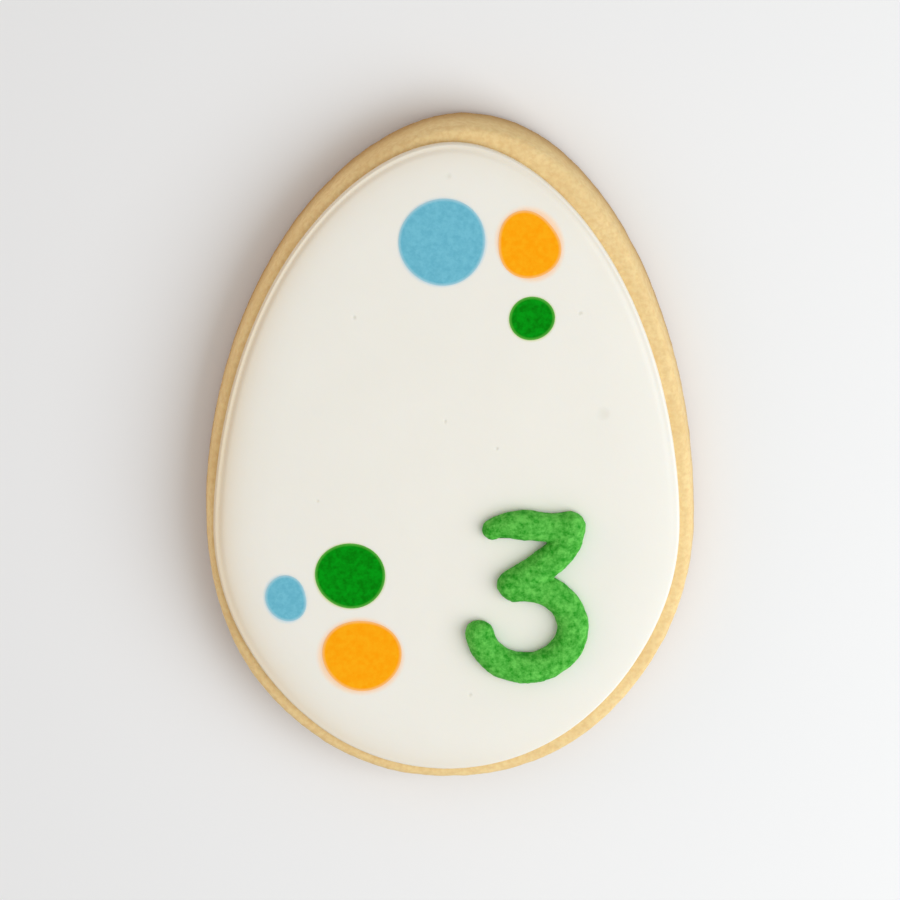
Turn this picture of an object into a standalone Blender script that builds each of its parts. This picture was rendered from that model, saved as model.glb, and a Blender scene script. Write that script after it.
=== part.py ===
"""An iced sugar cookie in the shape of an egg.

A cut, baked biscuit carries a flood of white icing that stops just short of its edge. Six dots of
coloured icing were dropped into the flood while it was wet, so they lie flush with it, and a plain
figure three is piped on top. The cookie lies flat, face up, with its narrow end towards +Y. The
origin is on the underside, at the middle of the cookie's length and width.
"""

import math

import bmesh
import bpy
from mathutils import Vector

MM = 0.001
GAP = 0.3 * MM  # clearance kept between pieces that touch

# The biscuit, measured from the middle of its widest line
BISCUIT_HALF_WIDTH = 32.4 * MM
BISCUIT_BLUNT = 36.0 * MM  # from the widest line to the blunt end
BISCUIT_NARROW = 54.1 * MM  # from the widest line to the narrow end
BISCUIT_LEAN = 1.5 * MM  # how far the narrow end leans to +X
BISCUIT_THICK = 7.8 * MM
FOOT_WIDTH = 1.0 * MM  # the rounding under the edge
FOOT_HEIGHT = 1.3 * MM
SHOULDER_WIDTH = 1.5 * MM  # the rounding over the edge
SHOULDER_HEIGHT = 2.6 * MM
BISCUIT_WAVES = ((3, 0.12 * MM, 0.6), (5, 0.09 * MM, 2.1), (8, 0.04 * MM, 4.0))

# The flood of icing, measured from the middle of its own widest line
ICING_CENTRE = Vector((-0.32 * MM, -0.1 * MM))
ICING_HALF_WIDTH = 30.7 * MM
ICING_BLUNT = 34.0 * MM
ICING_NARROW = 51.65 * MM
ICING_LEAN = 0.9 * MM
ICING_THICK = 1.6 * MM  # at the flat crown
ICING_WAVES = ((4, 0.08 * MM, 1.0), (7, 0.05 * MM, 3.0))
RIM_WIDTH = 1.1 * MM  # the bead that runs round the flood
RIM_HEIGHT = 1.5 * MM
RIM_SIDE = 0.5 * MM  # where the bead is widest
CREASE_AT = 2.2 * MM  # the shallow line just inside the bead
CREASE_HEIGHT = 1.4 * MM
CROWN_AT = 4.4 * MM  # the crown is flat from here inwards

# How full each part of an outline is: 2 is an ellipse, more is squarer, less is slimmer
BISCUIT_FULLNESS = (2.07, 1.96, 1.82)  # blunt half, narrow half on +X, narrow half on -X
ICING_FULLNESS = (1.97, 1.90, 1.89)

# The dots: place from the middle of the icing's widest line, radius, stretch and its direction
DOT_DEPTH = 0.8 * MM
DOT_EDGE = 0.25 * MM  # rounding of a dot's lower edge
DOTS = {
    "dot_blue_large": ((-0.55 * MM, 38.55 * MM), 5.78 * MM, 0.02, 78),
    "dot_orange_upper": ((10.75 * MM, 38.1 * MM), 4.32 * MM, 0.07, -71),
    "dot_green_upper": ((11.2 * MM, 28.2 * MM), 2.97 * MM, 0.02, 33),
    "dot_green_lower": ((-12.7 * MM, -7.0 * MM), 4.55 * MM, 0.02, -16),
    "dot_blue_small": ((-21.2 * MM, -10.15 * MM), 2.92 * MM, 0.09, -75),
    "dot_orange_lower": ((-11.2 * MM, -18.0 * MM), 5.05 * MM, 0.04, -6),
}

# The piped figure three, from the middle of the icing's widest line: a bar, a slope and a bowl
PIPE_HEIGHT = 1.9 * MM
PIPE_FOOT = math.radians(22)  # how far the bead curls under at its foot
BAR_START = Vector((5.95 * MM, -0.35 * MM))
CORNER = Vector((16.35 * MM, -0.15 * MM))
WAIST = Vector((8.65 * MM, -8.15 * MM))
BAR_BOW = 0.3 * MM
SLOPE_BOW = 1.0 * MM
BOWL_CENTRE = Vector((10.45 * MM, -13.95 * MM))
BOWL_RADII = Vector((6.2 * MM, 5.6 * MM))
BOWL_FROM = math.radians(103)
BOWL_TO = math.radians(-170)
BAR_WIDTHS = (1.4 * MM, 2.2 * MM)  # half the bead's width at the start and at the end
SLOPE_WIDTHS = (2.05 * MM, 2.15 * MM)
BOWL_WIDTHS = (2.05 * MM, 2.1 * MM)

OUTLINE_SIDES = 80
DOT_SIDES = 32
BEAD_SIDES = 9
BEAD_END_STEPS = 3  # rings that round off each end of a bead
BEAD_END_TURN = math.radians(75)  # how far round the end the last of them lies
BAR_STEPS, SLOPE_STEPS, BOWL_STEPS = 8, 9, 22
SHARP_ANGLE = math.radians(40)

COLOURS = {
    "baked_biscuit": ((0.74, 0.53, 0.27), 0.85),
    "white_icing": ((0.87, 0.84, 0.79), 0.5),
    "blue_icing": ((0.14, 0.47, 0.60), 0.5),
    "orange_icing": ((0.97, 0.38, 0.01), 0.5),
    "green_icing": ((0.01, 0.25, 0.01), 0.5),
    "piped_green_icing": ((0.08, 0.42, 0.05), 0.6),
}


def material(name):
    """The Principled material of this name, made on its first use."""
    made = bpy.data.materials.get(name)
    if made:
        return made
    colour, roughness = COLOURS[name]
    made = bpy.data.materials.new(name)
    made.use_nodes = True
    shader = made.node_tree.nodes["Principled BSDF"]
    shader.inputs["Base Color"].default_value = (*colour, 1.0)
    shader.inputs["Roughness"].default_value = roughness
    shader.inputs["Metallic"].default_value = 0.0
    return made


def add_object(name, mesh, material_name):
    """Puts a mesh in the scene as a named, smooth-shaded object."""
    mesh.shade_smooth()
    mesh.set_sharp_from_angle(angle=SHARP_ANGLE)
    piece = bpy.data.objects.new(name, mesh)
    piece.data.materials.append(material(material_name))
    bpy.context.collection.objects.link(piece)
    return piece


def as_cutter(piece):
    piece.hide_render = True
    piece.display_type = "WIRE"
    return piece


def add_boolean(piece, other, operation):
    step = piece.modifiers.new(f"{operation} {other.name}", "BOOLEAN")
    step.object = other
    step.operation = operation
    step.solver = "EXACT"


def lofted(name, rings):
    """A closed mesh through rings of equal length, capped at both ends, with its faces outwards."""
    shape = bmesh.new()
    levels = [[shape.verts.new(point) for point in ring] for ring in rings]
    for lower, upper in zip(levels, levels[1:]):
        for i in range(len(lower)):
            j = (i + 1) % len(lower)
            shape.faces.new((lower[i], lower[j], upper[j], upper[i]))
    shape.faces.new(levels[0][::-1])
    shape.faces.new(levels[-1])
    bmesh.ops.recalc_face_normals(shape, faces=shape.faces)
    mesh = bpy.data.meshes.new(name)
    shape.to_mesh(mesh)
    shape.free()
    return mesh


def power(value, exponent):
    """A signed power, for the half superellipses of the outline."""
    return math.copysign(abs(value) ** exponent, value)


def egg_outline(half_width, blunt, narrow, lean, fullness, waves):
    """The outline as points round the middle of its widest line, starting at +X."""
    points = []
    for i in range(OUTLINE_SIDES):
        angle = 2 * math.pi * i / OUTLINE_SIDES
        upper = math.sin(angle) > 0
        part = (1 if math.cos(angle) > 0 else 2) if upper else 0
        exponent = 2 / fullness[part]
        reach = narrow if upper else blunt
        x = half_width * power(math.cos(angle), exponent)
        y = reach * power(math.sin(angle), exponent)
        if upper:
            x += lean * (y / narrow) ** 3
        point = Vector((x, y))
        swell = sum(size * math.sin(count * angle + start) for count, size, start in waves)
        points.append(point + point.normalized() * swell)
    return points


def ring_at(outline, inset, height, centre):
    """The outline moved inwards by the inset and lifted to the height."""
    ring = []
    for point in outline:
        place = centre + point * (1 - inset / point.length)
        ring.append((place.x, place.y, height))
    return ring


def biscuit_profile():
    """Inset and height of each ring, from the flat underside to the flat top."""
    profile = []
    for step in range(4):
        angle = math.radians(90 * step / 3)
        inset = FOOT_WIDTH * (1 - math.sin(angle))
        profile.append((inset, FOOT_HEIGHT * (1 - math.cos(angle))))
    for step in range(6):
        angle = math.radians(90 * step / 5)
        inset = SHOULDER_WIDTH * (1 - math.cos(angle))
        profile.append((inset, BISCUIT_THICK - SHOULDER_HEIGHT * (1 - math.sin(angle))))
    return profile


def icing_profile():
    """Inset and height above the icing's underside of each ring, from the foot to the crown."""
    profile = [(0.3 * RIM_WIDTH, 0.0)]
    for step in range(5):
        angle = math.radians(90 * step / 4)
        inset = RIM_WIDTH * (1 - math.cos(angle))
        profile.append((inset, RIM_SIDE + (RIM_HEIGHT - RIM_SIDE) * math.sin(angle)))
    profile.append((CREASE_AT, CREASE_HEIGHT))
    profile.append(((CREASE_AT + CROWN_AT) / 2, (CREASE_HEIGHT + ICING_THICK) / 2))
    profile.append((CROWN_AT, ICING_THICK))
    return profile


def make_biscuit(outline, centre):
    rings = [ring_at(outline, inset, height, centre) for inset, height in biscuit_profile()]
    return add_object("biscuit", lofted("biscuit", rings), "baked_biscuit")


def make_icing(centre, base):
    outline = egg_outline(
        ICING_HALF_WIDTH, ICING_BLUNT, ICING_NARROW, ICING_LEAN, ICING_FULLNESS, ICING_WAVES
    )
    rings = [ring_at(outline, inset, base + height, centre) for inset, height in icing_profile()]
    return add_object("white_icing", lofted("white_icing", rings), "white_icing")


def round_pool(name, place, radius, depth, stretch, direction, top):
    """A shallow pool of icing with a flat top and a rounded lower edge, slightly out of round."""
    bottom = top - depth
    bend = 0.3 * DOT_EDGE  # where the rounding of the lower edge is steepest
    levels = ((DOT_EDGE, bottom), (bend, bottom + bend), (0, bottom + DOT_EDGE), (0, top))
    rings = []
    for inset, height in levels:
        ring = []
        for i in range(DOT_SIDES):
            angle = 2 * math.pi * i / DOT_SIDES
            reach = (radius - inset) * (1 + stretch * math.cos(2 * (angle - direction)))
            ring.append((place.x + reach * math.cos(angle), place.y + reach * math.sin(angle), height))
        rings.append(ring)
    return lofted(name, rings)


def make_dots(icing, centre, crown):
    """Each dot lies in its own pocket in the icing, flush with the crown."""
    for name, (offset, radius, stretch, degrees) in DOTS.items():
        place = centre + Vector(offset)
        direction = math.radians(degrees)
        colour = name.split("_")[1] + "_icing"
        dot = round_pool(name, place, radius, DOT_DEPTH, stretch, direction, crown)
        add_object(name, dot, colour)
        pocket_name = "pocket_" + name
        deep = DOT_DEPTH + 2 * GAP
        pocket = round_pool(pocket_name, place, radius + GAP, deep, stretch, direction, crown + GAP)
        add_boolean(icing, as_cutter(add_object(pocket_name, pocket, "white_icing")), "DIFFERENCE")


def bowed_path(start, end, bow, steps):
    """Points from start to end on a shallow curve that swells by bow to the left of its way."""
    across = Vector((start.y - end.y, end.x - start.x)).normalized()
    points = []
    for i in range(steps + 1):
        share = i / steps
        points.append(start.lerp(end, share) + across * bow * 4 * share * (1 - share))
    return points


def bowl_path(centre, steps):
    """Points clockwise round the oval of the bowl."""
    points = []
    for i in range(steps + 1):
        angle = BOWL_FROM + (BOWL_TO - BOWL_FROM) * i / steps
        reach = Vector((BOWL_RADII.x * math.cos(angle), BOWL_RADII.y * math.sin(angle)))
        points.append(centre + BOWL_CENTRE + reach)
    return points


def bead_section(place, along, half_width, height, base):
    """A D-shaped ring across the bead, flat underneath and curling in a little at its foot."""
    across = Vector((-along.y, along.x))
    sunk = math.sin(PIPE_FOOT)
    ring = []
    for i in range(BEAD_SIDES):
        angle = -PIPE_FOOT + (math.pi + 2 * PIPE_FOOT) * i / (BEAD_SIDES - 1)
        side = place + across * half_width * math.cos(angle)
        lift = height * (math.sin(angle) + sunk) / (1 + sunk)
        ring.append((side.x, side.y, base + lift))
    return ring


def bead_end(place, along, half_width, base):
    """Rings that shrink round the end of a bead, from its full size outwards."""
    rings = []
    for step in range(BEAD_END_STEPS + 1):
        turn = BEAD_END_TURN * step / BEAD_END_STEPS
        size = math.cos(turn)
        beyond = place + along * half_width * math.sin(turn)
        rings.append(bead_section(beyond, along, half_width * size, PIPE_HEIGHT * size, base))
    return rings


def piped_bead(name, path, widths, base):
    """A bead of piped icing along the path, rounded where it starts and stops."""
    last = len(path) - 1
    start_way = (path[0] - path[1]).normalized()
    # The first end looks back along the path, so its rings are turned to match the others.
    start = [ring[::-1] for ring in bead_end(path[0], start_way, widths[0], base)]
    rings = start[::-1]
    for i in range(1, last):
        along = (path[i + 1] - path[i - 1]).normalized()
        half_width = widths[0] + (widths[1] - widths[0]) * i / last
        rings.append(bead_section(path[i], along, half_width, PIPE_HEIGHT, base))
    end_way = (path[last] - path[last - 1]).normalized()
    rings += bead_end(path[last], end_way, widths[1], base)
    return lofted(name, rings)


def make_numeral(centre, base):
    """The three beads of the figure, joined into one solid."""
    corner = centre + CORNER
    waist = centre + WAIST
    bar_path = bowed_path(centre + BAR_START, corner, BAR_BOW, BAR_STEPS)
    slope_path = bowed_path(corner, waist, SLOPE_BOW, SLOPE_STEPS)
    bar = piped_bead("piped_numeral", bar_path, BAR_WIDTHS, base)
    slope = piped_bead("slope", slope_path, SLOPE_WIDTHS, base)
    bowl = piped_bead("bowl", bowl_path(centre, BOWL_STEPS), BOWL_WIDTHS, base)
    numeral = add_object("piped_numeral", bar, "piped_green_icing")
    for mesh in (slope, bowl):
        bead = as_cutter(add_object(mesh.name, mesh, "piped_green_icing"))
        add_boolean(numeral, bead, "UNION")


def main():
    for old in list(bpy.data.objects):
        bpy.data.objects.remove(old)
    outline = egg_outline(
        BISCUIT_HALF_WIDTH, BISCUIT_BLUNT, BISCUIT_NARROW, BISCUIT_LEAN, BISCUIT_FULLNESS, BISCUIT_WAVES
    )
    across = [point.x for point in outline]
    along = [point.y for point in outline]
    centre = -Vector((min(across) + max(across), min(along) + max(along))) / 2
    make_biscuit(outline, centre)
    icing_base = BISCUIT_THICK + GAP
    crown = icing_base + ICING_THICK
    icing = make_icing(centre + ICING_CENTRE, icing_base)
    make_dots(icing, centre + ICING_CENTRE, crown)
    make_numeral(centre + ICING_CENTRE, crown + GAP)


main()
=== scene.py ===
import math

import bpy
import numpy as np
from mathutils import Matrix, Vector


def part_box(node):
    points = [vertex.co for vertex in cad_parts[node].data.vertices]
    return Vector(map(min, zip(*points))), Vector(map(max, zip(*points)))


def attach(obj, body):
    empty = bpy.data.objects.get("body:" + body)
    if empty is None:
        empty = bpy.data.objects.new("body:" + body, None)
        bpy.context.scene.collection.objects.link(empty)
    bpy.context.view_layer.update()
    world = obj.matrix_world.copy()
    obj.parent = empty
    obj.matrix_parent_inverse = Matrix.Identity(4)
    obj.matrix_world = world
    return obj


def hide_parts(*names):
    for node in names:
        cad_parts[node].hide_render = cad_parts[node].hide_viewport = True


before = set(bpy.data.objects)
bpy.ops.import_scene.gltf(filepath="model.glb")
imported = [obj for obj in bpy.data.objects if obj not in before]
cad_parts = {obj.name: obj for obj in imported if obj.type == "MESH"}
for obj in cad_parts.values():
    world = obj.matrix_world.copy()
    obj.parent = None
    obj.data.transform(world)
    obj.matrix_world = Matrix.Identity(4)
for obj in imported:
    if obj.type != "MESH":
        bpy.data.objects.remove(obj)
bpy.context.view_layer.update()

# ---------------------------------------------------------------------------------------------
# The table, the light and the camera
# A plain table top of matt painted board beside a large soft window on the right. The room lights
# it from all round, and a sunny wall on the left throws a little low, warm light back.
# ---------------------------------------------------------------------------------------------
MM = 0.001
TABLE_WIDTH = 3.0
TABLE_GAP = 0.01 * MM  # the table lies this far under the biscuit, so that the two don't mix
ROOM_STRENGTH = 0.565
LIGHTS = (  # name, width, power, direction from the cookie, distance, colour
    ("window", 0.38, 1.3, (1.0, -0.3, 1.1), 0.42, "#F8FCFF"),
    ("warm_wall", 0.6, 1.15, (-1.0, 0.35, 0.36), 0.9, "#FFC68A"),
)
CAMERA_TILT = math.radians(16)  # the camera stands a little beyond the narrow end
CAMERA_DISTANCE = 1.32
CAMERA_LENS = 400
AIM_HEIGHT = 5 * MM


def linear(hex_colour):
    """An sRGB hex colour as the linear RGBA that a shader takes."""
    channels = [int(hex_colour[i : i + 2], 16) / 255 for i in (1, 3, 5)]
    channels = [c / 12.92 if c <= 0.04045 else ((c + 0.055) / 1.055) ** 2.4 for c in channels]
    return (*channels, 1.0)


def add_node(material, kind, inputs, **settings):
    """One shader node. settings are its options; inputs hold a value or another node's output."""
    made = material.node_tree.nodes.new("ShaderNode" + kind)
    for name, value in settings.items():
        setattr(made, name, value)
    for socket, value in inputs.items():
        if isinstance(value, bpy.types.NodeSocket):
            material.node_tree.links.new(value, made.inputs[socket])
        else:
            made.inputs[socket].default_value = value
    return made


def new_finish(name):
    """A material with no nodes yet."""
    material = bpy.data.materials.new(name)
    material.use_nodes = True
    material.node_tree.nodes.clear()
    return material


bpy.ops.object.select_all(action="DESELECT")
bpy.ops.mesh.primitive_plane_add(size=TABLE_WIDTH, location=(0, 0, -TABLE_GAP))
table_top = bpy.context.object
table_top.name = "table_top"
# Matt paint has no gloss, so the table shows only the cookie's soft shadow.
painted_board = new_finish("matt_painted_board")
paint = add_node(
    painted_board, "BsdfPrincipled", {"Base Color": linear("#EDEDEC"), "Roughness": 0.8}
)
add_node(painted_board, "OutputMaterial", {"Surface": paint.outputs["BSDF"]})
table_top.data.materials.append(painted_board)

room = bpy.data.worlds.new("room")
room.use_nodes = True
room.node_tree.nodes["Background"].inputs["Color"].default_value = linear("#FCFDFF")
room.node_tree.nodes["Background"].inputs["Strength"].default_value = ROOM_STRENGTH
bpy.context.scene.world = room

for name, width, power, direction, distance, colour in LIGHTS:
    place = Vector(direction).normalized() * distance
    bpy.ops.object.light_add(type="AREA", location=place)
    lamp = bpy.context.object
    lamp.name = name
    lamp.rotation_euler = place.to_track_quat("Z", "Y").to_euler()
    lamp.data.size = width
    lamp.data.energy = power
    lamp.data.color = linear(colour)[:3]

bpy.ops.object.camera_add(rotation=(-CAMERA_TILT, 0, 0))
camera = bpy.context.object
camera.data.lens = CAMERA_LENS
camera.data.clip_start = 0.01
aim = Vector((0, 0, AIM_HEIGHT))
camera.location = aim + camera.rotation_euler.to_matrix() @ Vector((0, 0, CAMERA_DISTANCE))
bpy.context.scene.camera = camera
bpy.context.scene.view_settings.view_transform = "Standard"

# ---------------------------------------------------------------------------------------------
# The biscuit
# Rolled sugar dough, stamped out with an egg cutter and baked on a flat tray: a pale, dry, sandy
# crumb, square-cut sides with softly risen shoulders, and a browner underside and foot.
# ---------------------------------------------------------------------------------------------


def egg_outline(corners, widest, lean, fullness, waves, sides):
    """An egg's outline that fills a box.

    widest is the place of its widest line along its length, from the blunt end, and lean is how
    far the narrow end leans to the right. fullness is for the blunt end and for the narrow end's
    right and left: 2 is an ellipse, and more is fuller. Each of waves has how many of them go
    round the egg, their size and where they start.
    """
    low, high = corners
    half_width = (high.x - low.x) / 2
    blunt = (high.y - low.y) * widest
    narrow = (high.y - low.y) - blunt
    middle = Vector(((low.x + high.x) / 2, low.y + blunt))
    points = []
    for i in range(sides):
        angle = 2 * math.pi * i / sides
        cosine, sine = math.cos(angle), math.sin(angle)
        exponent = 2 / fullness[0 if sine <= 0 else 1 if cosine > 0 else 2]
        x = half_width * math.copysign(abs(cosine) ** exponent, cosine)
        y = (narrow if sine > 0 else blunt) * math.copysign(abs(sine) ** exponent, sine)
        x += lean * max(y / narrow, 0) ** 3
        swell = sum(size * math.sin(count * angle + start) for count, size, start in waves)
        points.append(middle + Vector((x, y)) * (1 + swell / math.hypot(x, y)))
    # The waves push the outline a little off the box, so it is fitted back to it.
    for axis in (0, 1):
        least = min(point[axis] for point in points)
        most = max(point[axis] for point in points)
        for point in points:
            share = (point[axis] - least) / (most - least)
            point[axis] = low[axis] + share * (high[axis] - low[axis])
    return points


def edit(piece):
    """Makes this piece alone selected and active, clears its mesh selection in edit mode, and goes
    back to object mode.
    """
    bpy.ops.object.select_all(action="DESELECT")
    bpy.context.view_layer.objects.active = piece
    piece.select_set(True)
    bpy.ops.object.mode_set(mode="EDIT")
    bpy.ops.mesh.select_all(action="DESELECT")
    bpy.ops.object.mode_set(mode="OBJECT")


def pick_faces(piece, wanted):
    """Selects the faces for which wanted(face) is true and returns to edit mode in face mode."""
    edit(piece)
    for face in piece.data.polygons:
        face.select = bool(wanted(face))
    bpy.ops.object.mode_set(mode="EDIT")
    bpy.ops.mesh.select_mode(type="FACE")


def leave_edit():
    bpy.ops.mesh.select_all(action="DESELECT")
    bpy.ops.object.mode_set(mode="OBJECT")


def slab(name, outline, bottom, top):
    """A flat-ended slab with this outline, closed above and below."""
    bpy.ops.object.select_all(action="DESELECT")
    bpy.ops.mesh.primitive_cylinder_add(
        vertices=len(outline), radius=1, depth=2, end_fill_type="NGON", location=(0, 0, 0)
    )
    piece = bpy.context.object
    piece.name = name
    piece.data.name = name
    for vertex in piece.data.vertices:
        x, y, z = vertex.co
        turn = math.atan2(x, y) % (2 * math.pi)
        point = outline[round(turn / (2 * math.pi) * len(outline)) % len(outline)]
        vertex.co = (point.x, point.y, top if z > 0 else bottom)
    edit(piece)
    bpy.ops.object.mode_set(mode="EDIT")
    bpy.ops.mesh.select_all(action="SELECT")
    bpy.ops.mesh.normals_make_consistent(inside=False)
    leave_edit()
    return piece


def step_in(piece, side, steps):
    """Insets the end face (side 1 on top, -1 below) by each (inwards, outwards along it) step."""
    pick_faces(piece, lambda face: face.normal.z * side > 0.99 and len(face.vertices) > 4)
    for inwards, along in steps:
        bpy.ops.mesh.inset(thickness=inwards, depth=along, use_boundary=True)
    leave_edit()


def draw_in(piece, centre, rings):
    """Carries the top face in to a centre by even rings, which leave it a mesh fit to bend."""
    pick_faces(piece, lambda face: face.normal.z > 0.99 and len(face.vertices) > 4)
    for ring in range(rings, 0, -1):
        bpy.ops.mesh.extrude_region_move()
        share = (ring - 0.5) / (ring + 0.5)
        bpy.ops.transform.resize(value=(share, share, 1), center_override=(centre.x, centre.y, 0))
    leave_edit()


def quarter_round(width, height, steps):
    """The steps of a rounding that starts along the wall and ends flat."""
    turns = [math.radians(90 * i / steps) for i in range(steps + 1)]
    return [
        (width * (math.cos(a) - math.cos(b)), height * (math.sin(b) - math.sin(a)))
        for a, b in zip(turns, turns[1:])
    ]


def add_modifier(piece, kind, **settings):
    """Adds a modifier with its settings and applies it."""
    bpy.ops.object.select_all(action="DESELECT")
    bpy.context.view_layer.objects.active = piece
    piece.select_set(True)
    modifier = piece.modifiers.new(kind.lower(), kind)
    for name, value in settings.items():
        setattr(modifier, name, value)
    bpy.ops.object.modifier_apply(modifier=modifier.name)


def relief(piece, name, kind, grain, depth, level, group="", **settings):
    """Presses a pattern into the surface. Level 1 only sinks it, and 0.5 sinks and swells it."""
    pattern = bpy.data.textures.new(name, kind)
    pattern.noise_scale = grain
    for setting, value in settings.items():
        setattr(pattern, setting, value)
    add_modifier(
        piece,
        "DISPLACE",
        texture=pattern,
        texture_coords="LOCAL",
        strength=depth,
        mid_level=level,
        vertex_group=group,
    )


def spokes(outline, middle):
    """The outline's reach from the middle: the angles and the lengths, sorted by angle."""
    reach = sorted((math.atan2(*(point - middle).yx), (point - middle).length) for point in outline)
    return middle, [angle for angle, _ in reach], [length for _, length in reach]


def in_from_edge(place, outline_spokes):
    """How far a place lies inside an outline."""
    middle, angles, lengths = outline_spokes
    away = Vector((place.x, place.y)) - middle
    return np.interp(math.atan2(away.y, away.x), angles, lengths, period=2 * math.pi) - away.length


biscuit_low, biscuit_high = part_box("biscuit")
BISCUIT_WIDEST = 0.4  # the widest line's place along the length, from the blunt end
BISCUIT_LEAN = 1.5 * MM
BISCUIT_FULLNESS = (2.07, 1.96, 1.82)
BISCUIT_WAVES = ((3, 0.12 * MM, 0.6), (5, 0.09 * MM, 2.1), (8, 0.04 * MM, 4.0))
BISCUIT_SIDES = 240
BAKED_LOSS = 0.03 * MM  # what the relief takes off all round
FOOT = (1.0 * MM, 1.3 * MM)  # width and height of the rounding at the foot
SPREAD = ((0.12 * MM, 1.0 * MM), (0.14 * MM, 1.4 * MM))  # the side leans in above the spread foot
SHOULDER = (1.0 * MM, 1.7 * MM)  # width and height of the rounding at the top
CRUMB_MESH = 0.5 * MM
RIM_BAND = 3.4 * MM  # how far in from the edge the surface shows and is made finer
TRAY_SIDE = 0.4 * MM  # up to this height the tray kept the crumb smoother
TRAY_RELIEF = 0.35  # the share of the relief that is left there
BROWNED_UP_TO = 6.2 * MM
BROWNEST_BELOW = 0.4 * MM

margin = Vector((BAKED_LOSS, BAKED_LOSS, 0))
raw_corners = (biscuit_low - margin, biscuit_high + margin)
biscuit_outline = egg_outline(
    raw_corners, BISCUIT_WIDEST, BISCUIT_LEAN, BISCUIT_FULLNESS, BISCUIT_WAVES, BISCUIT_SIDES
)
side_top = biscuit_high.z - SHOULDER[1] - sum(rise for _, rise in SPREAD)
biscuit = slab("baked_biscuit", biscuit_outline, biscuit_low.z + FOOT[1], side_top)
step_in(biscuit, 1, (*SPREAD, *quarter_round(*SHOULDER, steps=7)))
step_in(biscuit, -1, quarter_round(*FOOT, steps=5))
add_modifier(biscuit, "REMESH", mode="VOXEL", voxel_size=CRUMB_MESH)

# The part that shows, the sides and a band round both faces, gets a mesh twice as fine.
middle = Vector((0, biscuit_low.y + (biscuit_high.y - biscuit_low.y) * BISCUIT_WIDEST))
biscuit_spokes = spokes(biscuit_outline, middle)
pick_faces(biscuit, lambda face: in_from_edge(face.center, biscuit_spokes) < RIM_BAND)
bpy.ops.mesh.subdivide(number_cuts=1)
leave_edit()
add_modifier(biscuit, "SMOOTH", factor=0.5, iterations=3)
crumb = biscuit.vertex_groups.new(name="crumb")
for vertex in biscuit.data.vertices:
    low_down = vertex.co.z < biscuit_low.z + TRAY_SIDE
    crumb.add([vertex.index], TRAY_RELIEF if low_down else 1.0, "REPLACE")
relief(biscuit, "oven_swell", "CLOUDS", 9 * MM, 0.16 * MM, 0.9, "crumb")
relief(biscuit, "sugar_crumb", "CLOUDS", 1.1 * MM, 0.08 * MM, 0.75, "crumb", noise_depth=2)
relief(biscuit, "gas_pits", "VORONOI", 1.9 * MM, 0.06 * MM, 1.0, "crumb", noise_intensity=1.6)
biscuit.data.shade_smooth()

# Baked sugar dough is dry and matt: sandy, a little lighter and darker in patches, and browner
# towards the tray. Its sugar grit of about 0.3 mm is too fine to show, so it is drawn at 0.7 mm.
baked_dough = new_finish("baked_sugar_dough")
place = add_node(baked_dough, "TexCoord", {}).outputs["Object"]
grit = add_node(
    baked_dough,
    "TexNoise",
    {"Vector": place, "Scale": 1 / (0.7 * MM), "Detail": 2.5, "Roughness": 0.55},
)
grains = add_node(
    baked_dough, "MapRange", {"Value": grit.outputs["Fac"], "From Min": 0.36, "From Max": 0.62}
)
sandy = add_node(
    baked_dough,
    "MixRGB",
    {"Fac": grains.outputs["Result"], "Color1": linear("#E7C68B"), "Color2": linear("#F0D499")},
)
patches = add_node(
    baked_dough, "TexNoise", {"Vector": place, "Scale": 1 / (6 * MM), "Detail": 2.0}
)
patchy = add_node(
    baked_dough,
    "MapRange",
    {"Value": patches.outputs["Fac"], "From Min": 0.35, "From Max": 0.75, "To Max": 0.35},
)
toasted = add_node(
    baked_dough,
    "MixRGB",
    {
        "Fac": patchy.outputs["Result"],
        "Color1": sandy.outputs["Color"],
        "Color2": linear("#DBB677"),
    },
)
height = add_node(baked_dough, "SeparateXYZ", {"Vector": place})
browning = add_node(
    baked_dough,
    "MapRange",
    {
        "Value": height.outputs["Z"],
        "From Min": BROWNED_UP_TO,
        "From Max": BROWNEST_BELOW,
        "To Max": 0.85,
    },
    interpolation_type="SMOOTHSTEP",
)
baked_colour = add_node(
    baked_dough,
    "MixRGB",
    {
        "Fac": browning.outputs["Result"],
        "Color1": toasted.outputs["Color"],
        "Color2": linear("#A97B40"),
    },
)
# The dry crumb breaks up into rounded granules, with the finer grit of the sugar over them.
granules = add_node(baked_dough, "TexVoronoi", {"Vector": place, "Scale": 1 / (0.75 * MM)})
crumbly = add_node(
    baked_dough,
    "Math",
    {0: grit.outputs["Fac"], 1: 1.2, 2: granules.outputs["Distance"]},
    operation="MULTIPLY_ADD",
)
grain_bump = add_node(
    baked_dough, "Bump", {"Strength": 0.4, "Distance": 0.1 * MM, "Height": crumbly.outputs["Value"]}
)
crust = add_node(
    baked_dough,
    "BsdfPrincipled",
    {
        "Base Color": baked_colour.outputs["Color"],
        "Roughness": 0.82,
        "IOR": 1.45,
        "Specular IOR Level": 0.3,
        "Subsurface Weight": 0.12,
        "Subsurface Radius": (1.0, 0.6, 0.3),
        "Subsurface Scale": 0.8 * MM,
        "Normal": grain_bump.outputs["Normal"],
    },
)
add_node(baked_dough, "OutputMaterial", {"Surface": crust.outputs["BSDF"]})
biscuit.data.materials.append(baked_dough)
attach(biscuit, "root")
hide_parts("biscuit")

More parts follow.
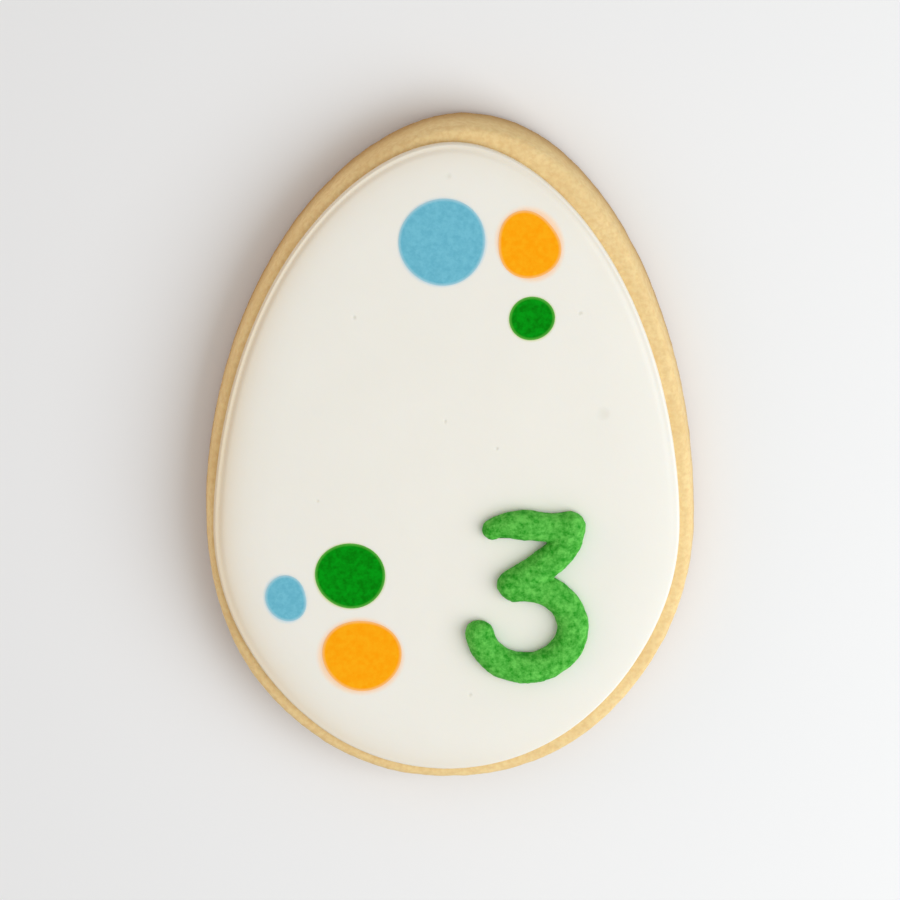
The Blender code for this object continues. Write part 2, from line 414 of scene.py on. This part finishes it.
# ---------------------------------------------------------------------------------------------
# The white icing
# Royal icing: a thin bead piped round the edge, then the middle flooded with runnier icing that
# settles level and dries to a smooth, hard, satin crust with a few pinholes. The coloured drops
# that were let fall into it while wet have stained it faintly round their edges.
# ---------------------------------------------------------------------------------------------
icing_low, icing_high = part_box("white_icing")
ICING_WIDEST = 0.397
ICING_LEAN = 0.9 * MM
ICING_FULLNESS = (1.97, 1.90, 1.89)
ICING_WAVES = ((4, 0.08 * MM, 1.0), (7, 0.05 * MM, 3.0))
ICING_SIDES = 288
SEAT = 0.45 * MM  # how far the icing reaches down into the biscuit's crumb
BEAD_WIDEST = 0.45 * MM  # height of the bead's widest line above the biscuit
BEAD_WALL = 0.1 * MM  # height of its upright part below that line
BEAD = (0.34 * MM, 0.72 * MM)  # width and height of its rounding above that line
BEAD_FOOT = ((0.03 * MM, 0.13 * MM), (0.06 * MM, 0.13 * MM), (0.09 * MM, 0.09 * MM))
FLOOD_STEPS = (  # inwards and up, from the bead to the level flood
    (0.08 * MM, 0.013 * MM),
    (0.08 * MM, 0.013 * MM),
    (0.08 * MM, 0.012 * MM),
    (0.09 * MM, 0.013 * MM),
    (0.1 * MM, 0.014 * MM),
    (0.12 * MM, 0.016 * MM),
    (0.16 * MM, 0.02 * MM),
    (0.2 * MM, 0.024 * MM),
    (0.25 * MM, 0.029 * MM),
    (0.45 * MM, 0.042 * MM),
    (0.9 * MM, 0.07 * MM),
    (1.1 * MM, 0.065 * MM),
    (1.4 * MM, 0.05 * MM),
    (1.8 * MM, 0.03 * MM),
)
CREASE_AT = 0.76 * MM  # in from the edge, where the flood met the bead
CREASE_HALF = 0.62 * MM  # half its width
CREASE_DEPTH = 0.21 * MM
CREASE_DEEPEST = math.radians(120)  # towards the narrow end and the left side
SHADED_SIDE = math.radians(170)  # the side away from the window, where the flood's rim gets painted warm shade
SHADE_REACH = 1.7 * MM  # how fast the painted shade fades inwards from there
FLOOD_RINGS = 30

icing_outline = egg_outline(
    (icing_low, icing_high), ICING_WIDEST, ICING_LEAN, ICING_FULLNESS, ICING_WAVES, ICING_SIDES
)
bead_line = biscuit_high.z + BEAD_WIDEST
icing = slab("flooded_icing", icing_outline, bead_line - BEAD_WALL, bead_line)
# Below, the bead curls in to its contact with the biscuit. Above, it rounds over to its crest,
# and inside a shallow crease the flood rises to its level over a few millimetres.
step_in(icing, -1, (*BEAD_FOOT, (0.0, SEAT)))
step_in(icing, 1, quarter_round(*BEAD, steps=6))
step_in(icing, 1, FLOOD_STEPS)
icing_middle = Vector(
    ((icing_low.x + icing_high.x) / 2, icing_low.y + (icing_high.y - icing_low.y) * ICING_WIDEST)
)
draw_in(icing, icing_middle, FLOOD_RINGS)
icing_spokes = spokes(icing_outline, icing_middle)
for vertex in icing.data.vertices:
    from_crease = abs(in_from_edge(vertex.co, icing_spokes) - CREASE_AT) / CREASE_HALF
    if from_crease < 1 and vertex.co.z > bead_line + BEAD[1] / 2:
        away = vertex.co.xy - icing_middle
        facing = (1 + math.cos(math.atan2(away.y, away.x) - CREASE_DEEPEST)) / 2
        vertex.co.z -= CREASE_DEPTH * facing**2 * (1 + math.cos(math.pi * from_crease)) / 2
relief(icing, "flood_waves", "CLOUDS", 14 * MM, 0.08 * MM, 0.5)
relief(icing, "bead_waves", "CLOUDS", 5 * MM, 0.04 * MM, 0.5)

# Painted warm shade on the side of the flood away from the window, as light thrown back from the
# biscuit, from 0 to 1, for the material.
painted_warm_shade = icing.data.attributes.new("painted_warm_shade", "FLOAT", "POINT")
for vertex, spot in zip(icing.data.vertices, painted_warm_shade.data):
    away = vertex.co.xy - icing_middle
    facing = (1 + math.cos(math.atan2(away.y, away.x) - SHADED_SIDE)) / 2
    inside = max(in_from_edge(vertex.co, icing_spokes) - CREASE_AT, 0)
    spot.value = facing**1.5 * math.exp(-inside / SHADE_REACH)

PINHOLES = (  # popped air bubbles: place from the icing's middle, radius and depth
    ((0.2 * MM, 47.4 * MM), 0.55 * MM, 0.05 * MM),
    ((-12.1 * MM, 28.3 * MM), 0.35 * MM, 0.10 * MM),
    ((17.5 * MM, 28.9 * MM), 0.35 * MM, 0.10 * MM),
    ((20.5 * MM, 15.2 * MM), 1.1 * MM, 0.05 * MM),
    ((-0.2 * MM, 14.1 * MM), 0.3 * MM, 0.10 * MM),
    ((6.6 * MM, 10.4 * MM), 0.3 * MM, 0.08 * MM),
    ((-17.0 * MM, 3.2 * MM), 0.3 * MM, 0.07 * MM),
    ((3.1 * MM, -23.5 * MM), 0.35 * MM, 0.08 * MM),
)
DEEPEST_PINHOLE = 0.1 * MM
PINHOLE_MARGIN = 0.8 * MM  # how far round each of them the mesh is made finer
holes = [(icing_middle + Vector(offset), radius, depth) for offset, radius, depth in PINHOLES]
pick_faces(
    icing,
    lambda face: face.normal.z > 0.8
    and any((face.center.xy - hole).length < radius + PINHOLE_MARGIN for hole, radius, _ in holes),
)
bpy.ops.mesh.subdivide(number_cuts=7)
leave_edit()
# Painted shade in each pinhole's pit, from 0 to 1 with its depth, for the material.
painted_pit_shade = icing.data.attributes.new("painted_pit_shade", "FLOAT", "POINT")
for vertex, spot in zip(icing.data.vertices, painted_pit_shade.data):
    for hole, radius, depth in holes:
        share = (vertex.co.xy - hole).length / radius
        if share < 1 and vertex.co.z > bead_line:
            vertex.co.z -= depth * (1 - share * share) ** 2
            spot.value = (1 - share * share) * depth / DEEPEST_PINHOLE

STAIN_START = 0.2 * MM  # how far inside a drop's edge its stain starts to fade
# Each drop's stretch and its direction, its three-sided bulge and its direction, and the stain
# round it: the colour, the width and the way it has crept.
DROPS = {
    "dot_blue_large": (0.02, 78, 0.013, 52, "#CFE0E4", 0.45 * MM, (0.0, -0.05 * MM)),
    "dot_orange_upper": (0.07, -71, 0.040, -11, "#FFD8B4", 0.9 * MM, (0.15 * MM, 0.12 * MM)),
    "dot_green_upper": (0.02, 33, 0.008, 0, "#D8E0A4", 0.4 * MM, (0.0, -0.05 * MM)),
    "dot_green_lower": (0.02, -16, 0.010, 40, "#D8E0A4", 0.4 * MM, (-0.05 * MM, -0.05 * MM)),
    "dot_blue_small": (0.09, -75, 0.024, -50, "#CFE0E4", 0.5 * MM, (-0.1 * MM, -0.05 * MM)),
    "dot_orange_lower": (0.04, -6, 0.019, 27, "#FFD8B4", 0.9 * MM, (-0.15 * MM, -0.12 * MM)),
}


def drop_place(name):
    """The middle and mean radius of a drop."""
    low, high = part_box(name)
    radius = (high.x - low.x + high.y - low.y) / 4
    return Vector(((low.x + high.x) / 2, (low.y + high.y) / 2)), radius


# Dried sugar crust is a satin dielectric, a little translucent just under its surface. Its grain
# is too fine to show, so the bump is drawn at 0.8 mm.
royal_icing = new_finish("dried_white_royal_icing")
place = add_node(royal_icing, "TexCoord", {}).outputs["Object"]
cloudy = add_node(royal_icing, "TexNoise", {"Vector": place, "Scale": 1 / (9 * MM), "Detail": 3.0})
colour = add_node(
    royal_icing,
    "MixRGB",
    {"Fac": cloudy.outputs["Fac"], "Color1": linear("#F0EDE3"), "Color2": linear("#EDEADF")},
).outputs["Color"]
# Painted warm shade: away from the window the flood's rim is darkened towards the biscuit's colour,
# as by light thrown back from it.
warm_shade = add_node(royal_icing, "Attribute", {}, attribute_name="painted_warm_shade")
colour = add_node(
    royal_icing,
    "MixRGB",
    {"Fac": warm_shade.outputs["Fac"], "Color1": colour, "Color2": linear("#E1D1B5")},
).outputs["Color"]
# Painted shade: each popped bubble's pit is greyed, as the shade that lies in it.
pit_shade = add_node(royal_icing, "Attribute", {}, attribute_name="painted_pit_shade")
colour = add_node(
    royal_icing,
    "MixRGB",
    {"Fac": pit_shade.outputs["Fac"], "Color1": colour, "Color2": linear("#E2DFD2")},
).outputs["Color"]
# Each stain fades outwards from the edge of its drop.
for name, (stretch, degrees, _, _, stain, width, crept) in DROPS.items():
    centre, radius = drop_place(name)
    own = add_node(
        royal_icing,
        "Mapping",
        {
            "Vector": place,
            "Location": (centre.x + crept[0], centre.y + crept[1], 0),
            "Rotation": (0, 0, math.radians(degrees)),
            "Scale": (radius * (1 + stretch), radius * (1 - stretch), 1),
        },
        vector_type="TEXTURE",
    )
    flat = add_node(
        royal_icing,
        "VectorMath",
        {0: own.outputs["Vector"], 1: (1, 1, 0)},
        operation="MULTIPLY",
    )
    away = add_node(royal_icing, "VectorMath", {0: flat.outputs["Vector"]}, operation="LENGTH")
    fading = add_node(
        royal_icing,
        "MapRange",
        {
            "Value": away.outputs["Value"],
            "From Min": 1 - STAIN_START / radius,
            "From Max": 1 + width / radius,
            "To Min": 1.0,
            "To Max": 0.0,
        },
        interpolation_type="SMOOTHERSTEP",
    )
    colour = add_node(
        royal_icing,
        "MixRGB",
        {"Fac": fading.outputs["Result"], "Color1": colour, "Color2": linear(stain)},
    ).outputs["Color"]
sugar_grain = add_node(
    royal_icing, "TexNoise", {"Vector": place, "Scale": 1 / (0.8 * MM), "Detail": 2.0}
)
sugar_bump = add_node(
    royal_icing,
    "Bump",
    {"Strength": 0.5, "Distance": 0.015 * MM, "Height": sugar_grain.outputs["Fac"]},
)
sugar_crust = add_node(
    royal_icing,
    "BsdfPrincipled",
    {
        "Base Color": colour,
        "Roughness": 0.48,
        "IOR": 1.48,
        "Specular IOR Level": 0.4,
        "Subsurface Weight": 0.25,
        "Subsurface Radius": (1.0, 0.85, 0.65),
        "Subsurface Scale": 1.1 * MM,
        "Normal": sugar_bump.outputs["Normal"],
    },
)
add_node(royal_icing, "OutputMaterial", {"Surface": sugar_crust.outputs["BSDF"]})
icing.data.materials.append(royal_icing)
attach(icing, "root")
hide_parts("white_icing")

# ---------------------------------------------------------------------------------------------
# The coloured drops
# Runny royal icing, tinted and dropped into the white flood while it was wet, so each has spread
# to a soft round pool that lies level with the flood in a hollow of its own.
# ---------------------------------------------------------------------------------------------
POOL_SIDES = 96
POOL_DEPTH = 0.7 * MM  # of a drop's floor below the top of the icing's box
POOL_RINGS = 10
POOL_PROUD = 0.03 * MM  # how far a drop stands above the flood
POOL_LAP = 0.25 * MM  # how far a drop laps over the edge of its hollow
POOL_FADE = 0.4 * MM  # how far in the white has bled into a drop's edge
FADE_RINGS = 3
HOLLOW_SPARE = 0.05 * MM  # the room under a drop in its hollow
ABOVE_ICING = 1 * MM  # a drop's top starts this far above the icing's box, then is laid on it
DROP_COLOURS = {  # light and dark of the fine mottling, and the colour at the bled edge
    "blue": ("#74BFD2", "#67B3C8", "#A6D0DB"),
    "orange": ("#FFAE12", "#FFA203", "#FFC078"),
    "green": ("#009810", "#007C04", "#5FB044"),
}


def pool_outline(name, shrink):
    """The slightly uneven round of a drop, as many points as its mesh has sides."""
    stretch, stretch_way, bulge, bulge_way = DROPS[name][:4]
    centre, radius = drop_place(name)
    points = []
    for i in range(POOL_SIDES):
        angle = 2 * math.pi * i / POOL_SIDES
        uneven = 1 + stretch * math.cos(2 * (angle - math.radians(stretch_way)))
        uneven += bulge * math.cos(3 * (angle - math.radians(bulge_way)))
        reach = radius * uneven - shrink
        points.append(centre + Vector((reach * math.cos(angle), reach * math.sin(angle))))
    return points


def tinted_icing(tint):
    """Tinted royal icing: a satin crust, its tint finely mottled by undissolved colour."""
    light, dark, bled = DROP_COLOURS[tint]
    finish = new_finish(f"{tint}_royal_icing")
    place = add_node(finish, "TexCoord", {}).outputs["Object"]
    # The specks of colour are too fine to show, so they are drawn at 0.7 mm.
    specks = add_node(
        finish,
        "TexNoise",
        {"Vector": place, "Scale": 1 / (0.7 * MM), "Detail": 3.0, "Roughness": 0.6},
    )
    mottling = add_node(
        finish,
        "MapRange",
        {"Value": specks.outputs["Fac"], "From Min": 0.35, "From Max": 0.65},
    )
    colour = add_node(
        finish,
        "MixRGB",
        {"Fac": mottling.outputs["Result"], "Color1": linear(dark), "Color2": linear(light)},
    )
    edge = add_node(finish, "Attribute", {}, attribute_name="bled_edge")
    softened = add_node(
        finish,
        "MixRGB",
        {"Fac": edge.outputs["Fac"], "Color1": colour.outputs["Color"], "Color2": linear(bled)},
    )
    bump = add_node(
        finish, "Bump", {"Strength": 0.5, "Distance": 0.02 * MM, "Height": specks.outputs["Fac"]}
    )
    shader = add_node(
        finish,
        "BsdfPrincipled",
        {
            "Base Color": softened.outputs["Color"],
            "Roughness": 0.55,
            "IOR": 1.48,
            "Specular IOR Level": 0.04,
            "Subsurface Weight": 0.1,
            "Subsurface Radius": (1.0, 0.85, 0.65),
            "Subsurface Scale": 0.5 * MM,
            "Normal": bump.outputs["Normal"],
        },
    )
    add_node(finish, "OutputMaterial", {"Surface": shader.outputs["BSDF"]})
    return finish


tints = {tint: tinted_icing(tint) for tint in DROP_COLOURS}
pool_floor = icing_high.z - POOL_DEPTH
above = icing_high.z + ABOVE_ICING
hollows = []
for name in DROPS:
    _, tint, which = name.split("_")
    centre, _ = drop_place(name)
    outline = pool_outline(name, 0.0)
    pool = slab(f"drop_{tint}_{which}", outline, pool_floor, above)
    step_in(pool, 1, [(POOL_FADE / FADE_RINGS, 0.0)] * FADE_RINGS)
    draw_in(pool, centre, POOL_RINGS)
    # How much white has bled into the drop, from 0 to 1 at its edge, for the material.
    rim = [(point - centre).length for point in outline]
    turns = np.linspace(0, 2 * math.pi, len(rim), endpoint=False)
    bled_edge = pool.data.attributes.new("bled_edge", "FLOAT", "POINT")
    for vertex, spot in zip(pool.data.vertices, bled_edge.data):
        away = vertex.co.xy - centre
        reach = np.interp(math.atan2(away.y, away.x), turns, rim, period=2 * math.pi)
        spot.value = min(max(1 - (reach - away.length) / POOL_FADE, 0), 1)
    face_up = pool.vertex_groups.new(name="face_up")
    top = [vertex.index for vertex in pool.data.vertices if vertex.co.z > icing_high.z]
    face_up.add(top, 1.0, "REPLACE")
    add_modifier(
        pool,
        "SHRINKWRAP",
        target=icing,
        wrap_method="PROJECT",
        use_project_z=True,
        use_negative_direction=True,
        use_positive_direction=True,
        offset=POOL_PROUD,
        vertex_group="face_up",
    )
    bpy.ops.object.shade_smooth_by_angle(angle=math.radians(40))
    pool.data.materials.append(tints[tint])
    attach(pool, "root")
    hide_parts(name)
    hollow_outline = pool_outline(name, POOL_LAP)
    hollows.append(slab(f"hollow_{name}", hollow_outline, pool_floor - HOLLOW_SPARE, above))

# The hollows are cut out of the icing together, once all the drops lie on it.
bpy.ops.object.select_all(action="DESELECT")
for hollow in hollows:
    hollow.select_set(True)
bpy.context.view_layer.objects.active = hollows[0]
bpy.ops.object.join()
add_modifier(icing, "BOOLEAN", operation="DIFFERENCE", object=hollows[0], solver="EXACT")
bpy.data.objects.remove(hollows[0])
bpy.context.view_layer.objects.active = icing
icing.select_set(True)
bpy.ops.object.shade_smooth_by_angle(angle=math.radians(40))

# ---------------------------------------------------------------------------------------------
# The figure
# A plain three, piped free-hand with stiff green icing through a round nozzle: a plump bead of
# uneven width that dried matt and a little grainy, its mottling left by the colour in the sugar.
# ---------------------------------------------------------------------------------------------
figure_low, figure_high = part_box("piped_numeral")
figure_middle = (figure_low.xy + figure_high.xy) / 2
# Places from the figure's middle and half widths of the bead, in mm.
BAR = ((-4.5, 9.3, 1.4), (-3.2, 9.8, 1.6), (-0.2, 9.9, 2.15), (3.2, 9.6, 1.98), (5.8, 9.6, 2.2))
SLOPE = ((5.8, 9.6, 2.2), (4.9, 6.9, 2.1), (2.2, 4.3, 2.1), (-1.7, 1.7, 2.15))
BOWL_CENTRE = Vector((0.0, -4.15))
BOWL_RADII = Vector((6.2, 5.6))
BOWL_WIDTHS = (2.0, 2.1, 2.15, 2.15, 2.1, 2.0)  # from waist to hook
BOWL_START = 103  # degrees, from the right
BOWL_TURN = 273  # degrees, clockwise
ROUND_END = (20, 40, 58, 72, 82)  # degrees round the end of a bead
BEAD_FULL = 2.15 * MM  # half the width from which a bead has its full height
BEAD_HEIGHT = 1.85 * MM  # above its widest line
BEAD_SQUARENESS = 2.4  # 2 is an ellipse, more a flatter top
BEAD_LIFT = 0.18 * MM  # the widest line above the top of the icing's box
FIGURE_MESH = 0.13 * MM
FIGURE_CUT = 0.15 * MM  # where it is cut off flat, below the top of the icing's box


def through(points, steps):
    """A smooth run through listed points, each a place and a half width."""
    points = [Vector(point) for point in points]
    ends = [2 * points[0] - points[1], *points, 2 * points[-1] - points[-2]]
    run = []
    for a, b, c, d in zip(ends, ends[1:], ends[2:], ends[3:]):
        for i in range(steps):
            t = i / steps
            pull = (2 * a - 5 * b + 4 * c - d) * t * t + (3 * b - a - 3 * c + d) * t**3
            run.append(b + ((c - a) * t + pull) / 2)
    run.append(points[-1])
    return run


def bowl_run(steps):
    """The open bowl of the three, from its waist round to its hook."""
    run = []
    for i in range(steps + 1):
        share = i / steps
        angle = math.radians(BOWL_START - BOWL_TURN * share)
        width = np.interp(share * (len(BOWL_WIDTHS) - 1), range(len(BOWL_WIDTHS)), BOWL_WIDTHS)
        x = BOWL_CENTRE.x + BOWL_RADII.x * math.cos(angle)
        y = BOWL_CENTRE.y + BOWL_RADII.y * math.sin(angle)
        run.append(Vector((x, y, width)))
    return run


def with_round_ends(run):
    """Adds shrinking steps past both ends, so that the bead starts and stops round."""
    turns = [math.radians(angle) for angle in ROUND_END]
    longer = list(run)
    for end, before, front in ((run[0], run[1], True), (run[-1], run[-2], False)):
        away = (end.xy - before.xy).normalized()
        for turn in turns:
            spot = end.xy + away * end.z * math.sin(turn)
            step = Vector((spot.x, spot.y, end.z * math.cos(turn)))
            longer.insert(0, step) if front else longer.append(step)
    return longer


bead_curve = bpy.data.curves.new("piped_three", "CURVE")
bead_curve.dimensions = "3D"
bead_curve.bevel_depth = MM
bead_curve.bevel_resolution = 8
bead_curve.use_fill_caps = True
for run in (through(BAR, steps=6), through(SLOPE, steps=6), bowl_run(steps=40)):
    run = with_round_ends(run)
    stroke = bead_curve.splines.new("POLY")
    stroke.points.add(len(run) - 1)
    for point, step in zip(stroke.points, run):
        spot = figure_middle + step.xy * MM
        point.co = (spot.x, spot.y, 0, 1)
        point.radius = step.z
figure = bpy.data.objects.new("piped_three", bead_curve)
bpy.context.collection.objects.link(figure)
bpy.ops.object.select_all(action="DESELECT")
bpy.context.view_layer.objects.active = figure
figure.select_set(True)
bpy.ops.object.convert(target="MESH")
# The round bead settles: its top gets flatter and fuller, and its underside half as high.
widest_height = icing_high.z + BEAD_LIFT
for vertex in figure.data.vertices:
    share = min(abs(vertex.co.z) / BEAD_FULL, 1.0)
    settled = (1 - (1 - share * share) ** (BEAD_SQUARENESS / 2)) ** (1 / BEAD_SQUARENESS)
    height = BEAD_HEIGHT if vertex.co.z > 0 else BEAD_HEIGHT / 2
    vertex.co.z = widest_height + math.copysign(height * settled, vertex.co.z)
add_modifier(figure, "REMESH", mode="VOXEL", voxel_size=FIGURE_MESH)
add_modifier(figure, "SMOOTH", factor=0.5, iterations=5)
relief(figure, "bead_lumps", "CLOUDS", 2.6 * MM, 0.30 * MM, 0.6)
relief(figure, "stiff_sugar", "CLOUDS", 0.8 * MM, 0.14 * MM, 0.6, noise_depth=2)
edit(figure)
bpy.ops.object.mode_set(mode="EDIT")
bpy.ops.mesh.select_all(action="SELECT")
bpy.ops.mesh.bisect(
    plane_co=(0, 0, icing_high.z - FIGURE_CUT), plane_no=(0, 0, 1), use_fill=True, clear_inner=True
)
leave_edit()
bpy.ops.object.shade_smooth_by_angle(angle=math.radians(60))

# Stiff royal icing dries matt and finely rough, with its colour uneven among the sugar. Its grain
# is too fine to show, so it is drawn at 0.9 mm.
stiff_icing = new_finish("piped_green_royal_icing")
place = add_node(stiff_icing, "TexCoord", {}).outputs["Object"]
grains = add_node(
    stiff_icing,
    "TexNoise",
    {"Vector": place, "Scale": 1 / (0.9 * MM), "Detail": 3.0, "Roughness": 0.7},
)
mottling = add_node(
    stiff_icing, "MapRange", {"Value": grains.outputs["Fac"], "From Min": 0.35, "From Max": 0.65}
)
green = add_node(
    stiff_icing,
    "MixRGB",
    {"Fac": mottling.outputs["Result"], "Color1": linear("#219216"), "Color2": linear("#68C751")},
)
grain_bump = add_node(
    stiff_icing, "Bump", {"Strength": 0.7, "Distance": 0.08 * MM, "Height": grains.outputs["Fac"]}
)
dried_bead = add_node(
    stiff_icing,
    "BsdfPrincipled",
    {
        "Base Color": green.outputs["Color"],
        "Roughness": 0.65,
        "IOR": 1.48,
        "Specular IOR Level": 0.15,
        "Subsurface Weight": 0.1,
        "Subsurface Radius": (1.0, 0.85, 0.65),
        "Subsurface Scale": 0.5 * MM,
        "Normal": grain_bump.outputs["Normal"],
    },
)
add_node(stiff_icing, "OutputMaterial", {"Surface": dried_bead.outputs["BSDF"]})
figure.data.materials.append(stiff_icing)
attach(figure, "root")
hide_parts("piped_numeral")
